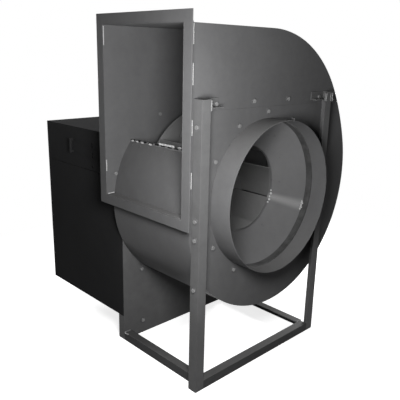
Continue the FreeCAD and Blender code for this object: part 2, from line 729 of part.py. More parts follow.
belts = []
for i in range(int(s.belt_count.number)):
    belt = new_body("belt_%d" % i, z=s.shaft_height,
                    y=pulley_front + s.pulley_edge + s.belt_pitch * i - s.belt_width / 2)
    pad(belt, "Y", [belt_edge(s.belt_sink), belt_edge(s.belt_sink + s.belt_height)],
        s.belt_width, "Loop")
    belts.append(belt)
group("v_belts", belts)

# Motor shell with its stator core, its closed fan end, cooling fins and feet.
stator_rear = pulley_front - s.nose_gap - s.shield_depth
stator_front = stator_rear - s.stator_length
shell_inner = motor_radius - s.stator_wall
core_bore = s.rotor_radius + s.air_gap
core = (s.winding_gap, s.stator_length - s.winding_gap)
tail_radius = s.motor_shaft_radius - s.shaft_step
tail_fit = tail_radius + s.running_fit
frame = keep(turned("motor_frame", [
    (0, tail_fit), (s.stator_wall, tail_fit), (s.stator_wall, shell_inner),
    (core[0], shell_inner), (core[0], core_bore), (core[1], core_bore),
    (core[1], shell_inner), (s.stator_length, shell_inner),
    (s.stator_length, motor_radius), (0, motor_radius)], stator_front, motor_height))
half_fin = s.fin_wall / 2
fin = pad(frame, "Y", [rectangle(-half_fin, half_fin, motor_radius - half_fin,
                                 motor_radius + s.fin_rise)], s.stator_length, "Fin")
polar_copies(frame, fin, s.fin_count, "Fins")
foot_low, foot_top = -s.motor_rise, s.motor_foot_wall - s.motor_rise
web_outer = (s.foot_reach + s.foot_inner) / 2
web_inner = web_outer - s.stator_wall
for side, name in ((-1, "Left"), (1, "Right")):
    pad(frame, "Y", [[
        (side * s.foot_inner, foot_low), (side * s.foot_reach, foot_low),
        (side * s.foot_reach, foot_top), (side * web_outer, foot_top),
        (side * web_outer, -motor_radius / 2), (side * web_inner, -motor_radius / 2),
        (side * web_inner, foot_top), (side * s.foot_inner, foot_top),
    ]], s.stator_length, name + "Foot")

# Drive end shield, and the fan's cowl with radial slots in its end.
bore_fit = s.motor_shaft_radius + s.running_fit
keep(turned("motor_end_shield", [
    (0, bore_fit), (0, motor_radius), (s.stator_wall, motor_radius),
    (s.shield_depth - half_fin, s.nose_radius), (s.shield_depth, s.nose_radius),
    (s.shield_depth, bore_fit)], stator_rear, motor_height))
cowl_outer = motor_radius - s.panel_wall
cowl_inner = cowl_outer - s.panel_wall
cowl = keep(turned("motor_fan_cowl", [
    (0, 0), (0, cowl_outer), (s.cowl_length, cowl_outer), (s.cowl_length, cowl_inner),
    (s.panel_wall, cowl_inner), (s.panel_wall, 0)], stator_front - s.cowl_length, motor_height))
SLOTS = 16
slot = pocket(cowl, "Y", [rectangle(-s.grille_rib / 2, s.grille_rib / 2, s.nose_radius,
                                    cowl_inner - s.grille_rib)], s.panel_wall, "Slot")
polar_copies(cowl, slot, as_size(SLOTS), "Slots")

# Terminal box on the motor's top, hollowed to the fins' circle.
box_middle = (stator_front + stator_rear) / 2
half_box = s.box_side / 2
box_outer = block("box_outer", (-half_box, half_box),
                  (box_middle - half_box, box_middle + half_box),
                  (motor_height + shell_inner, motor_height + motor_radius + s.box_rise))
box_seat = rod("box_seat", motor_radius + s.fin_rise + s.seat, s.stator_length,
               0, stator_front, motor_height, TO_PLUS_Y)
keep(without("motor_terminal_box", box_outer, [box_seat]))

# Motor shaft with its rotor core, and the cooling fan under the cowl.
fan_start = stator_front - s.cowl_length + s.motor_shaft_radius
rotor = (stator_front + s.winding_gap - fan_start, stator_rear - s.winding_gap - fan_start)
rotor_length = pulley_front + pulley_width + half_fin - fan_start
keep(turned("motor_rotor", [
    (0, 0), (0, tail_radius), (rotor[0], tail_radius), (rotor[0], s.rotor_radius),
    (rotor[1], s.rotor_radius), (rotor[1], s.motor_shaft_radius),
    (rotor_length, s.motor_shaft_radius), (rotor_length, 0)], fan_start, motor_height))
vane_width = s.cowl_length / 2 - s.inner_ring
vane_root = s.motor_shaft_radius + s.stator_wall
fan = keep(turned("motor_fan", [
    (0, tail_radius), (0, vane_root), (vane_width, vane_root), (vane_width, tail_radius)],
    fan_start + half_fin, motor_height))
VANES = 7
vane = pad(fan, "Y", [rectangle(-half_fin, half_fin, vane_root - half_fin,
                                cowl_inner - s.inner_ring)], vane_width, "Vane")
polar_copies(fan, vane, as_size(VANES), "Vanes")


def angle_bar(axis, name, corner, ways, leg, wall, start, end):
    """An angle bar along an axis. Its outer corner stands at the given corner, its legs point
    the given ways, each 1 or -1, and it runs from start to end."""
    u, v = corner
    to_u, to_v = ways
    bar = new_body(name, **{axis.lower(): start})
    pad(bar, axis, [[
        (u, v), (u + to_u * leg, v), (u + to_u * leg, v + to_v * wall),
        (u + to_u * wall, v + to_v * wall), (u + to_u * wall, v + to_v * leg),
        (u, v + to_v * leg)]], as_size(end) - as_size(start), "Bar")
    return bar


# Slide rails under the motor's feet, on two cross beams of the enclosure's floor.
slide_spots = (stator_front + s.slide_height, stator_rear - 2 * s.slide_height)
group("motor_slide_rails", [
    block("slide_rail_%d" % i, (-s.slide_reach, s.slide_reach), (y, y + s.slide_height),
          (slide_low, slide_low + s.slide_height)) for i, y in enumerate(slide_spots)])
group("drive_cross_beams", [
    angle_bar("X", "cross_beam_%d" % i, (y, slide_low), (1, -1), s.beam_leg, s.bar_wall,
              base_edge + s.frame_wall, s.base_right - s.frame_wall)
    for i, y in enumerate(slide_spots)])

# Front posts, and the clips and head plates that tie them to the casing.
keep(angle_bar("Z", "front_left_post", (post_left, 0), (1, 1), s.post_leg, s.bar_wall,
               0, post_height))
keep(angle_bar("Z", "front_right_post", (s.stand_right, 0), (-1, 1), s.post_leg, s.bar_wall,
               0, post_height))
clip_low = post_height - s.clip_leg
clip_left = post_left + s.bar_wall
clip_right = s.stand_right - s.bar_wall
group("post_clips", [
    angle_bar("X", "left_clip", (plate_front, clip_low), (-1, 1), s.clip_leg, s.bar_wall,
              clip_left, clip_left + s.left_clip_length),
    angle_bar("X", "right_clip", (plate_front, clip_low), (-1, 1), s.clip_leg, s.bar_wall,
              clip_right - s.right_clip_length, clip_right)])
head_low = post_height - s.head_height
right_leg = s.stand_right - s.post_leg
group("post_head_plates", [
    block("left_head_plate", (post_left, post_left + s.post_leg), (-s.head_wall, 0),
          (head_low, post_height)),
    block("right_head_plate", (right_leg - s.head_overhang, s.stand_right + s.head_overhang),
          (-s.head_wall, 0), (head_low, post_height))])

# Joint bolts: the outer two pass through the clips, the inner two lie on the plate.
joint_bolt_z = seam_height + s.seam_bolt_rise
joint_bolt_x = [i * s.seam_bolt_pitch - s.seam_bolt_first for i in range(4)]
bolt_heads("joint_bolts", [(x, plate_front, joint_bolt_z) for x in joint_bolt_x[1:3]],
           TO_MINUS_Y, s.bolt_small)
bolt_heads("clip_bolts",
           [(x, plate_front - s.bar_wall, joint_bolt_z) for x in (joint_bolt_x[0], joint_bolt_x[3])],
           TO_MINUS_Y, s.bolt_small)
POST_BOLT_SHARES = (0.38, 0.553, 0.617, 0.916)
bolt_heads("post_bolts",
           [(post_left, s.post_leg / 2, post_height * share) for share in POST_BOLT_SHARES],
           TO_MINUS_X, s.bolt_small)

# Base rails: their flat legs are on top, and the side rails stand in from the posts.
keep(angle_bar("X", "front_rail", (0, s.rail_leg), (1, -1), s.rail_leg, s.bar_wall,
               post_left + s.post_leg, s.stand_right - s.post_leg))
keep(angle_bar("Y", "left_rail", (base_edge, s.rail_leg), (1, -1), s.rail_leg, s.bar_wall,
               s.rail_leg, plate_rear))
keep(angle_bar("Y", "right_rail", (s.base_right, s.rail_leg), (-1, -1), s.rail_leg, s.bar_wall,
               s.rail_leg, plate_rear))
keep(angle_bar("X", "rear_rail", (pedestal_rear, s.rail_leg), (1, -1), s.rail_leg, s.bar_wall,
               base_edge + s.rail_leg, s.base_right - s.rail_leg))

# Rear legs, up the pedestal plate's edges.
keep(angle_bar("Z", "rear_left_leg", (base_edge, pedestal_rear), (1, 1), s.rail_leg,
               s.bar_wall, 0, drive_top))
keep(angle_bar("Z", "rear_right_leg", (s.base_right, pedestal_rear), (-1, 1), s.rail_leg,
               s.bar_wall, 0, drive_top))

# Enclosure frame: floor and roof bars, rear corner posts and cross bars.
drive_rear = pedestal_rear + s.drive_length
long_bar = (pedestal_rear + s.rail_leg, drive_rear - s.frame_leg)
cross_bar = (base_edge + s.frame_leg, s.base_right - s.frame_leg)
frame_section = (s.frame_leg, s.frame_wall)
bars = []
for side, x, inward in (("left", base_edge, 1), ("right", s.base_right, -1)):
    bars += [
        angle_bar("Y", side + "_floor_bar", (x, s.drive_floor), (inward, 1), *frame_section,
                  *long_bar),
        angle_bar("Y", side + "_roof_bar", (x, drive_top), (inward, -1), *frame_section,
                  *long_bar),
        angle_bar("Z", side + "_corner_post", (x, drive_rear), (inward, -1), *frame_section,
                  s.drive_floor, drive_top)]
for name, z, upward in (("floor", s.drive_floor, 1), ("roof", drive_top, -1)):
    bars.append(angle_bar("X", name + "_cross_bar", (drive_rear, z), (-1, upward),
                          *frame_section, *cross_bar))
group("enclosure_frame", bars)

# Sheet panels. The left side is in two sheets, with a column of round vents and a bow handle
# on the upper one.
panel_y = (pedestal_rear, drive_rear)
panel_z = (s.drive_floor, drive_top)
left_face = base_edge - s.panel_wall
sheet_joint = drive_top - s.sheet_joint_drop
VENT_SHARES = (0.335, 0.405, 0.584, 0.66, 0.912)
vents = [rod("vent_%d" % i, s.vent_radius, s.panel_wall, left_face, pedestal_rear + s.vent_start,
             drive_top - s.sheet_joint_drop * share, TO_PLUS_X)
         for i, share in enumerate(VENT_SHARES)]
left_x = (left_face, base_edge)
upper_sheet = without(
    "upper_left_sheet", block("upper_left_blank", left_x, panel_y, (sheet_joint, drive_top)), vents)
lower_sheet = block("lower_left_sheet", left_x, panel_y,
                    (s.drive_floor, sheet_joint - s.sheet_joint_gap))
handle = new_body("left_handle", left_face, pedestal_rear + s.handle_start,
                  drive_top - s.handle_drop - s.handle_height)
pad(handle, "Y", [[
    (0, 0), (0, s.handle_wall), (s.handle_wall - s.handle_reach, s.handle_wall),
    (s.handle_wall - s.handle_reach, s.handle_height - s.handle_wall),
    (0, s.handle_height - s.handle_wall), (0, s.handle_height),
    (-s.handle_reach, s.handle_height), (-s.handle_reach, 0)]], s.handle_wall, "Bow")
group("enclosure_left_panel", [lower_sheet, upper_sheet, handle])
keep(block("enclosure_right_panel", (s.base_right, s.base_right + s.panel_wall), panel_y, panel_z))
panel_x = (left_face, s.base_right + s.panel_wall)
cover_rear = drive_rear + s.panel_wall
keep(block("enclosure_rear_panel", panel_x, (drive_rear, cover_rear), panel_z))
keep(block("enclosure_top_panel", panel_x, (plate_rear, cover_rear),
           (drive_top, drive_top + s.panel_wall)))

doc.recompute()
for item in doc.Objects:
    if "Invalid" in item.State or "Error" in item.State:
        raise RuntimeError("%s did not build: %s" % (item.Name, item.State))
for node in NODES:
    if node.Shape.isNull() or not node.Shape.isValid():
        raise RuntimeError("%s has no valid shape" % node.Label)

os.makedirs("parts", exist_ok=True)
for node in NODES:
    node.Shape.exportStep("parts/%s.step" % node.Label)
print(len(NODES), "nodes")
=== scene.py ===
import math

import bmesh
import bpy
from mathutils import Matrix, Vector


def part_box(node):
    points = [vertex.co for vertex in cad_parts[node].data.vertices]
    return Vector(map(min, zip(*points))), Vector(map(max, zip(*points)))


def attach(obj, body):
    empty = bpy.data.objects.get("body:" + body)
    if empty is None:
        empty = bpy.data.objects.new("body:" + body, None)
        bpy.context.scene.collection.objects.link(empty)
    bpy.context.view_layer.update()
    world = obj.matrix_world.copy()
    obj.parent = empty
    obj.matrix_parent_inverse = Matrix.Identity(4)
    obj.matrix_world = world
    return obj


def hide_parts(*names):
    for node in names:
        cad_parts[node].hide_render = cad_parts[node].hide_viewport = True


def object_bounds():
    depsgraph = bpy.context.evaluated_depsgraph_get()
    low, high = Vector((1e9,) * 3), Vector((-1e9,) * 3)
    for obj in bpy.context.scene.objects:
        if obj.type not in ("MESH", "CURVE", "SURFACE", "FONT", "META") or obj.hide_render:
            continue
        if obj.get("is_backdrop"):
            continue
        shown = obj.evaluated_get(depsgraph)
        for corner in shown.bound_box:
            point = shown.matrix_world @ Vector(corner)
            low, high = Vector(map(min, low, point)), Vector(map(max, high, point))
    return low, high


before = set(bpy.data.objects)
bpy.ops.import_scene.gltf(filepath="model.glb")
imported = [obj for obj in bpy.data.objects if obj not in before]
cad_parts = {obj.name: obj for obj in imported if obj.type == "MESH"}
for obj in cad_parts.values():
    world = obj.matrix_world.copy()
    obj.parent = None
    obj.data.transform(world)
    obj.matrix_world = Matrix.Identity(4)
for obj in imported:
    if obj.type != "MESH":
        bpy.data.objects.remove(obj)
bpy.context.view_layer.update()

# The camera stands at eye height in front of the fan's left side, near the discharge, and looks
# down at it a little. Its turn and place come from the stand's and the flange's edges.
EYE = Vector((-1.9461, -1.5103, 1.5118))
HEADING = math.radians(45.738)
DOWN = math.radians(15.620)
LEAN = math.radians(1.349)
FOCAL_MM = 47.80
SENSOR_MM = 36
NEAREST, FURTHEST = 0.05, 60


def put_in(name, data):
    """A new object in the scene."""
    thing = bpy.data.objects.new(name, data)
    bpy.context.scene.collection.objects.link(thing)
    return thing


lens = bpy.data.cameras.new("view")
lens.lens = FOCAL_MM
lens.sensor_width = SENSOR_MM
lens.clip_start = NEAREST
lens.clip_end = FURTHEST
camera = put_in("view", lens)
camera.matrix_world = (
    Matrix.Translation(EYE)
    @ Matrix.Rotation(HEADING - math.pi / 2, 4, "Z")
    @ Matrix.Rotation(math.pi / 2 - DOWN, 4, "X")
    @ Matrix.Rotation(LEAN, 4, "Z")
)
bpy.context.scene.camera = camera
bpy.context.scene.view_settings.view_transform = "Standard"

# The floor is a pale sheet that the stand's feet rest on. Near the fan it keeps a soft shadow,
# and further out it is as white as the room, so that no edge shows between them.
FLOOR_REACH = 12.0
FLOOR_GLOW = 0.80
SHADOW_REACH = (1.1, 2.6)
PALE = (0.86, 0.86, 0.86, 1)
BOUNCE = (0.08, 0.08, 0.08, 1)
WHITE = (1, 1, 1, 1)


def add_node(tree, kind, **settings):
    """A shader node. A name that isn't one of its settings is a socket, with _ for each space."""
    node = tree.nodes.new(kind)
    for name, value in settings.items():
        if hasattr(node, name):
            setattr(node, name, value)
        else:
            node.inputs[name.replace("_", " ")].default_value = value
    return node


def reckon(tree, operation, *terms):
    """A sum on sockets and numbers. Gives its result."""
    node = add_node(tree, "ShaderNodeMath", operation=operation)
    for term, socket in zip(terms, node.inputs):
        if isinstance(term, bpy.types.NodeSocket):
            tree.links.new(term, socket)
        else:
            socket.default_value = term
    return node.outputs[0]


def ramp(tree, value, start, stop, low, high):
    """Turns a value between start and stop into one between low and high."""
    node = add_node(tree, "ShaderNodeMapRange", From_Min=start, From_Max=stop, To_Min=low, To_Max=high)
    tree.links.new(value, node.inputs["Value"])
    return node.outputs[0]


def blend_shaders(tree, factor, first, second):
    """A mix of two shaders, by a factor."""
    node = add_node(tree, "ShaderNodeMixShader")
    for source, socket in zip((factor, first, second), node.inputs):
        tree.links.new(source, socket)
    return node.outputs[0]


def seen_directly(tree):
    """1 for what the camera sees itself, in a reflection or through glass, and 0 for light."""
    rays = add_node(tree, "ShaderNodeLightPath").outputs
    straight = reckon(tree, "MAXIMUM", rays["Is Camera Ray"], rays["Is Glossy Ray"])
    return reckon(tree, "MAXIMUM", straight, rays["Is Transmission Ray"])


def new_finish(name):
    """An empty material. Gives its node tree and its surface socket as well."""
    finish = bpy.data.materials.new(name)
    finish.use_nodes = True
    tree = finish.node_tree
    tree.nodes.clear()
    return finish, tree, add_node(tree, "ShaderNodeOutputMaterial").inputs["Surface"]


floor_mesh = bmesh.new()
bmesh.ops.create_grid(floor_mesh, x_segments=1, y_segments=1, size=FLOOR_REACH)
floor_data = bpy.data.meshes.new("floor")
floor_mesh.to_mesh(floor_data)
floor_mesh.free()
floor = put_in("floor", floor_data)
floor_finish, tree, surface = new_finish("floor_finish")
matt = add_node(tree, "ShaderNodeBsdfDiffuse", Color=PALE)
glow = add_node(tree, "ShaderNodeEmission", Color=WHITE, Strength=FLOOR_GLOW)
near = add_node(tree, "ShaderNodeAddShader")
tree.links.new(matt.outputs[0], near.inputs[0])
tree.links.new(glow.outputs[0], near.inputs[1])
far = add_node(tree, "ShaderNodeEmission", Color=WHITE, Strength=1.0)
distance = add_node(tree, "ShaderNodeVectorMath", operation="LENGTH")
tree.links.new(add_node(tree, "ShaderNodeTexCoord").outputs["Object"], distance.inputs[0])
fade = ramp(tree, distance.outputs["Value"], *SHADOW_REACH, 0, 1)
sheet = blend_shaders(tree, fade, near.outputs[0], far.outputs[0])
lit = add_node(tree, "ShaderNodeBsdfDiffuse", Color=BOUNCE)
tree.links.new(blend_shaders(tree, seen_directly(tree), lit.outputs[0], sheet), surface)
floor.data.materials.append(floor_finish)
floor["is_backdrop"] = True

# The studio is a white room that gives a mild fill. One soft lamp hangs in front of the discharge
# flange, so that the paint darkens towards the far right. Three more light the right side, the
# drive's back and the top.
FILL = 0.03
world = bpy.data.worlds.new("studio")
bpy.context.scene.world = world
world.use_nodes = True
tree = world.node_tree
tree.nodes.clear()
room = add_node(tree, "ShaderNodeBackground", Color=WHITE, Strength=FILL)
backdrop = add_node(tree, "ShaderNodeBackground", Color=WHITE, Strength=1.0)
out = add_node(tree, "ShaderNodeOutputWorld")
tree.links.new(blend_shaders(tree, seen_directly(tree), room.outputs[0], backdrop.outputs[0]),
               out.inputs["Surface"])


def soft_lamp(name, place, radius, watts):
    """A round lamp that the camera doesn't see."""
    data = bpy.data.lights.new(name, "POINT")
    data.shadow_soft_size = radius
    data.energy = watts
    lamp = put_in(name, data)
    lamp.matrix_world = Matrix.Translation(place)
    lamp.visible_camera = False


soft_lamp("near_lamp", (-1.05, -0.60, 1.27), radius=0.20, watts=65)
soft_lamp("right_lamp", (3.0, 1.3, 1.3), radius=0.30, watts=290)
soft_lamp("rear_lamp", (-0.5, 3.9, 1.3), radius=0.30, watts=290)
soft_lamp("top_lamp", (0.3, 0.9, 4.2), radius=0.40, watts=130)

# The casing's two side plates are flat laser-cut sheets, 4 mm thick. The front one is in two
# parts that meet at a level joint over the inlet. All are sprayed with satin grey paint.
SIDE_PLATES = ("front_side_plate", "front_top_plate", "rear_side_plate", "joint_strip")
CASING_GREY = (0.150, 0.150, 0.152, 1)
PAINT_IOR = 1.30
PEEL_RISE = 0.0002
SCUFF_SPAN = (0.66, 0.74)
SCUFF_LIFT = 1.9
SCUFF_STRENGTH = 0.35
DUST_GREY = (0.34, 0.33, 0.31, 1)
UPWARD_SPAN = (0.35, 1.0)
MIDDLE = (0.3, 0.7)
WIDE = (0.25, 0.75)
MIX_BASE, MIX_TONE, MIX_RESULT = 6, 7, 2
SHEET_EASE = 0.0008
SAME_PLACE = 0.00001
FLAT_ANGLE = math.radians(1)
EDGE_ANGLE = math.radians(32)


def noise(tree, vector, scale, detail, roughness=0.5):
    """A noise pattern on a vector."""
    node = add_node(tree, "ShaderNodeTexNoise", Scale=scale, Detail=detail, Roughness=roughness)
    tree.links.new(vector, node.inputs["Vector"])
    return node.outputs["Fac"]


def shaded(tree, colour, factor):
    """A colour that a factor makes lighter or darker."""
    node = add_node(tree, "ShaderNodeVectorMath", operation="SCALE")
    node.inputs[0].default_value = colour[:3]
    tree.links.new(factor, node.inputs["Scale"])
    return node.outputs[0]


def lay_over(tree, factor, base, tone):
    """Mixes a tone over a colour, as far as the factor says."""
    node = add_node(tree, "ShaderNodeMix", data_type="RGBA")
    node.inputs[MIX_TONE].default_value = tone
    tree.links.new(factor, node.inputs[0])
    tree.links.new(base, node.inputs[MIX_BASE])
    return node.outputs[MIX_RESULT]


def spray_paint(name, colour, gloss_range, dust=0.0, spread=0.10, shine=0.12):
    """Sprayed paint: uneven film and sheen, an orange-peel surface, fine scuffs and some dust."""
    finish, tree, surface = new_finish(name)
    link = tree.links.new
    where = add_node(tree, "ShaderNodeTexCoord").outputs["Object"]
    film = noise(tree, where, scale=2.3, detail=5.0, roughness=0.6)
    cloud = noise(tree, where, scale=19.0, detail=4.0, roughness=0.7)
    tone = ramp(tree, film, *MIDDLE, 1 - spread, 1 + spread)
    mottle = ramp(tree, cloud, *MIDDLE, 1 - spread / 2, 1 + spread / 2)
    base = shaded(tree, colour, reckon(tree, "MULTIPLY", tone, mottle))
    stretch = add_node(tree, "ShaderNodeMapping", vector_type="POINT", Scale=(1.0, 1.0, 9.0))
    link(where, stretch.inputs["Vector"])
    scratch = noise(tree, stretch.outputs[0], scale=60.0, detail=6.0, roughness=0.75)
    scuff = reckon(tree, "MULTIPLY", ramp(tree, scratch, *SCUFF_SPAN, 0, 1), SCUFF_STRENGTH)
    worn = lay_over(tree, scuff, base, [min(1.0, part * SCUFF_LIFT) for part in colour[:3]] + [1])
    split = add_node(tree, "ShaderNodeSeparateXYZ")
    link(add_node(tree, "ShaderNodeNewGeometry").outputs["Normal"], split.inputs[0])
    dusty = lay_over(tree, ramp(tree, split.outputs["Z"], *UPWARD_SPAN, 0, dust), worn, DUST_GREY)
    peel = add_node(tree, "ShaderNodeBump", Strength=0.25, Distance=PEEL_RISE)
    link(noise(tree, where, scale=420.0, detail=2.0), peel.inputs["Height"])
    paint = add_node(tree, "ShaderNodeBsdfPrincipled", Metallic=0.0, IOR=PAINT_IOR,
                     Specular_IOR_Level=shine)
    link(dusty, paint.inputs["Base Color"])
    link(ramp(tree, cloud, *WIDE, *gloss_range), paint.inputs["Roughness"])
    link(peel.outputs[0], paint.inputs["Normal"])
    link(paint.outputs[0], surface)
    return finish


def dress(finish, *nodes):
    """Gives CAD nodes their finish."""
    for node in nodes:
        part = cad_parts[node]
        part.data.materials.clear()
        part.data.materials.append(finish)


def soften(width, *nodes):
    """Rounds a part's edges a little, as a grinder and the paint leave them."""
    for node in nodes:
        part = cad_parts[node]
        part.data.shade_smooth()
        for name in ("custom_normal", "sharp_edge"):
            if name in part.data.attributes:
                part.data.attributes.remove(part.data.attributes[name])
        joined = part.modifiers.new("joined", "WELD")
        joined.merge_threshold = SAME_PLACE
        flat = part.modifiers.new("flat", "DECIMATE")
        flat.decimate_type = "DISSOLVE"
        flat.angle_limit = FLAT_ANGLE
        edge = part.modifiers.new("edge", "BEVEL")
        edge.width = width
        edge.segments = 2
        edge.limit_method = "ANGLE"
        edge.angle_limit = EDGE_ANGLE
        edge.harden_normals = True


casing_paint = spray_paint("casing_paint", CASING_GREY, (0.36, 0.50), dust=0.12, shine=0.06)
dress(casing_paint, *SIDE_PLATES)
soften(SHEET_EASE, *SIDE_PLATES)

# The scroll wrap is one rolled 3 mm sheet, seam welded between the side plates. The outlet floor closes
# it below the discharge. A round bar stiffens the tongue's lip, held by short welds painted light grey as
# highlights. Between them, painted shade lies on the bar as dark bands.
WRAP_EASE = 0.0006
BAR_GREY = (0.200, 0.200, 0.201, 1)
BAND_SHADE = (0.010, 0.010, 0.010, 1)
BAND_SHADE_ABOVE = 1.0840
BAND_SHADE_PITCH = 0.046
UNSHADED_SHARE = 0.17
BRIGHT_HIGHLIGHT_GREY = (0.620, 0.620, 0.620, 1)
BEAD_STEP = 0.9
BEAD_FLAT = 0.72
BEAD_SWELLS = (0.12, 2.3, 0), (0.08, 5.1, 1)
LIP_FRONT_WELD = 0.0050
LIP_TOP_WELD = LIP_FRONT_WELD * 1.35
LIP_FRONT_SINK = 0.0015
LIP_TOP_PLACE = (0.0040, 0.0020)
LIP_FRONT_RUNS = (0.150, 0.172), (0.430, 0.446), (0.491, 0.507), (0.531, 0.546), (0.569, 0.584)
LIP_TOP_RUNS = (0.080, 0.130), (0.232, 0.252), (0.280, 0.325), (0.335, 0.385)


def over_paint(finish, mask, tone):
    """Lays a tone over a paint's own colour, where a mask says."""
    tree = finish.node_tree
    skin = next(node for node in tree.nodes if node.type == "BSDF_PRINCIPLED").inputs["Base Color"]
    tree.links.new(lay_over(tree, mask, skin.links[0].from_socket, tone), skin)


def place_axes(tree):
    """The X, Y and Z of a point of the surface."""
    split = add_node(tree, "ShaderNodeSeparateXYZ")
    tree.links.new(add_node(tree, "ShaderNodeTexCoord").outputs["Object"], split.inputs[0])
    return split.outputs


def paint_shade_bands(finish, height, pitch, tone):
    """Paints shade between stitches: short dark bands along Y, above a height."""
    tree = finish.node_tree
    axes = place_axes(tree)
    upper = reckon(tree, "GREATER_THAN", axes["Z"], height)
    band = reckon(tree, "GREATER_THAN", reckon(tree, "PINGPONG", axes["Y"], pitch / 2),
                  pitch * UNSHADED_SHARE)
    over_paint(finish, reckon(tree, "MULTIPLY", upper, band), tone)


def new_piece(name, mesh, finish, body):
    """Keeps a finished mesh as a piece of the fan."""
    data = bpy.data.meshes.new(name)
    mesh.to_mesh(data)
    mesh.free()
    piece = put_in(name, data)
    piece.data.materials.append(finish)
    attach(piece, body)
    return piece


def weld_run(mesh, start, end, size):
    """The ripples of a hand-laid weld along a straight run, each a flattened drop of metal."""
    start, end = Vector(start), Vector(end)
    run = end - start
    count = max(3, round(run.length / (size * BEAD_STEP)))
    turn = run.to_track_quat("Z", "X").to_matrix().to_4x4()
    for i in range(count):
        place = start.lerp(end, (i + 0.5) / count)
        swell = sum((share * math.sin(rate * i + first) for share, rate, first in BEAD_SWELLS), 1)
        bmesh.ops.create_uvsphere(
            mesh, u_segments=8, v_segments=5, radius=size * swell,
            matrix=Matrix.Translation(place) @ turn @ Matrix.Diagonal((1, 1, BEAD_FLAT, 1)))
    for face in mesh.faces:
        face.smooth = True


def weld_runs(mesh, axis, line, runs, size):
    """Welds on a line that follows an axis, from the first to the last place of each run."""
    for run in runs:
        ends = [Vector(line), Vector(line)]
        for end, place in zip(ends, run):
            end["xyz".index(axis)] = place
        weld_run(mesh, *ends, size)


dress(casing_paint, "scroll_wrap", "outlet_floor")
bar_paint = spray_paint("bar_paint", BAR_GREY, (0.20, 0.30), shine=0.7)
# Painted shade: near-black bands on the bar between the lip's welds.
paint_shade_bands(bar_paint, BAND_SHADE_ABOVE, BAND_SHADE_PITCH, BAND_SHADE)
dress(bar_paint, "cutoff_bar")
soften(WRAP_EASE, "scroll_wrap", "outlet_floor", "cutoff_bar")
# Light grey paint on weld beads and drops: a painted highlight.
highlight_weld = spray_paint("highlight_weld", BRIGHT_HIGHLIGHT_GREY, (0.16, 0.26), shine=1.0)
lip_low, lip_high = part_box("cutoff_bar")
lip = (lip_low + lip_high) / 2
lip_weld = bmesh.new()
weld_runs(lip_weld, "y", (lip_low.x + LIP_FRONT_SINK, 0, lip.z), LIP_FRONT_RUNS, LIP_FRONT_WELD)
inward, proud = LIP_TOP_PLACE
weld_runs(lip_weld, "y", (lip.x + inward, 0, lip_high.z + proud), LIP_TOP_RUNS, LIP_TOP_WELD)
new_piece("cutoff_weld", lip_weld, highlight_weld, "casing")

# The discharge flange is a mitred frame of 45 mm angle bars, stitch welded to the side plates outside,
# and inside its far and lower bars. The stitches are painted light grey, as highlights.
BAR_EASE = 0.0011
FLANGE_WELD = 0.0032
FAR_WELD = FLANGE_WELD * 0.8
SLEEVE_END = -0.4835
BEAD_PROUD = 0.003
OUTER_RUNS = (1.539, 1.616), (1.384, 1.468), (1.183, 1.245), (0.960, 1.030)
FAR_RUNS = (1.530, 1.612), (0.948, 1.002)
FAR_INSET = 0.004
FLOOR_INSET = 0.005
FLOOR_RUN_START = 0.006
FLOOR_RUN_END = -0.486
dress(casing_paint, "discharge_flange")
soften(BAR_EASE, "discharge_flange")
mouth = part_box("discharge_flange")[0].x
front_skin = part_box("front_side_plate")[0].y
rear_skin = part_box("rear_side_plate")[1].y
floor_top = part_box("outlet_floor")[1].z
stitches = bmesh.new()
for run in OUTER_RUNS:
    for y in (front_skin - BEAD_PROUD, rear_skin + BEAD_PROUD):
        weld_runs(stitches, "z", (SLEEVE_END, y, 0), [run], FLANGE_WELD)
weld_runs(stitches, "z", (mouth + FAR_INSET, rear_skin - FAR_INSET, 0), FAR_RUNS, FAR_WELD)
weld_runs(stitches, "x", (0, rear_skin - FLOOR_INSET, floor_top),
          [(mouth + FLOOR_RUN_START, FLOOR_RUN_END)], FLANGE_WELD)
new_piece("flange_welds", stitches, highlight_weld, "casing")

# The inlet collar and the cone are rolled from 3 mm sheet, each closed by one welded seam. The cone's
# throat enters the wheel's eye. Along the cone's seam the paint is lightened in a soft band, a painted
# highlight. The seam's weld and the drops of weld at both ends are painted light as highlights too.
SHAFT_HEIGHT = 0.860
CONE_SEAM = math.radians(-20)
SEAM_HIGHLIGHT_WIDTH = math.radians(7)
SEAM_HIGHLIGHT_GREY = (0.29, 0.29, 0.29, 1)
SOFT_HIGHLIGHT_GREY = (0.360, 0.360, 0.360, 1)
SEAM_WELD = 0.0022
SEAM_LINES = ((0.3525, 0.0545), (0.2165, 0.1695)), ((0.216, 0.170), (0.216, 0.184))
SEAM_ENDS = (0.3500, 0.0560, 0.030), (0.2155, 0.1700, 0.075)
DROP_RADIUS = 0.0052
DROP_GROWTH = 0.0015
DROP_STAGGER = 0.003


def round_shaft(radius, angle, y):
    """A point at an angle round the fan's shaft, seen from the inlet."""
    return Vector((radius * math.cos(angle), y, SHAFT_HEIGHT + radius * math.sin(angle)))


def paint_seam_highlight(finish, angle, width, tone):
    """Paints a highlight: lightens the paint in a soft band at an angle round the shaft, along a seam."""
    tree = finish.node_tree
    axes = place_axes(tree)
    turn = reckon(tree, "ARCTAN2", reckon(tree, "SUBTRACT", axes["Z"], SHAFT_HEIGHT), axes["X"])
    away = reckon(tree, "ABSOLUTE", reckon(tree, "SUBTRACT", turn, angle))
    band = add_node(tree, "ShaderNodeMapRange", interpolation_type="SMOOTHSTEP",
                    From_Min=0.0, From_Max=width, To_Min=1.0, To_Max=0.0)
    tree.links.new(away, band.inputs["Value"])
    over_paint(finish, band.outputs[0], tone)


